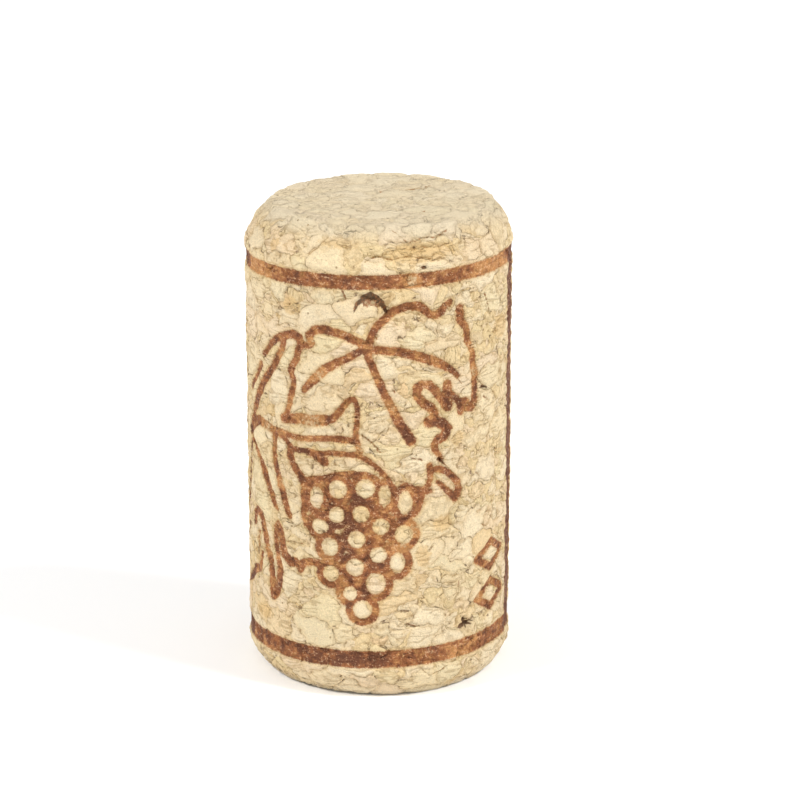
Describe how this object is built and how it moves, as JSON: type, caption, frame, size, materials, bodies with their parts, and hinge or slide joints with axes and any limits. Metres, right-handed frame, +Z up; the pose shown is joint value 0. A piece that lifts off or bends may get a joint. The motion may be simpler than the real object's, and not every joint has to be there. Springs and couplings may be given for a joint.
{
  "type": "bottle cork",
  "caption": "Cylindrical wine cork of pressed granules with bevelled ends, burnt rings and a burnt vine-leaf and grape ornament.",
  "frame": {"origin": "centre of the base, on the plane the cork stands on", "axes": "+Z up along the cork's axis, -Y towards the middle of the ornament"},
  "size_m": [0.021, 0.021, 0.038],
  "materials": {
    "cork": "matte, fine granules"
  },
  "bodies": {
    "root": {"cork": "cork"}
  },
  "joints": []
}
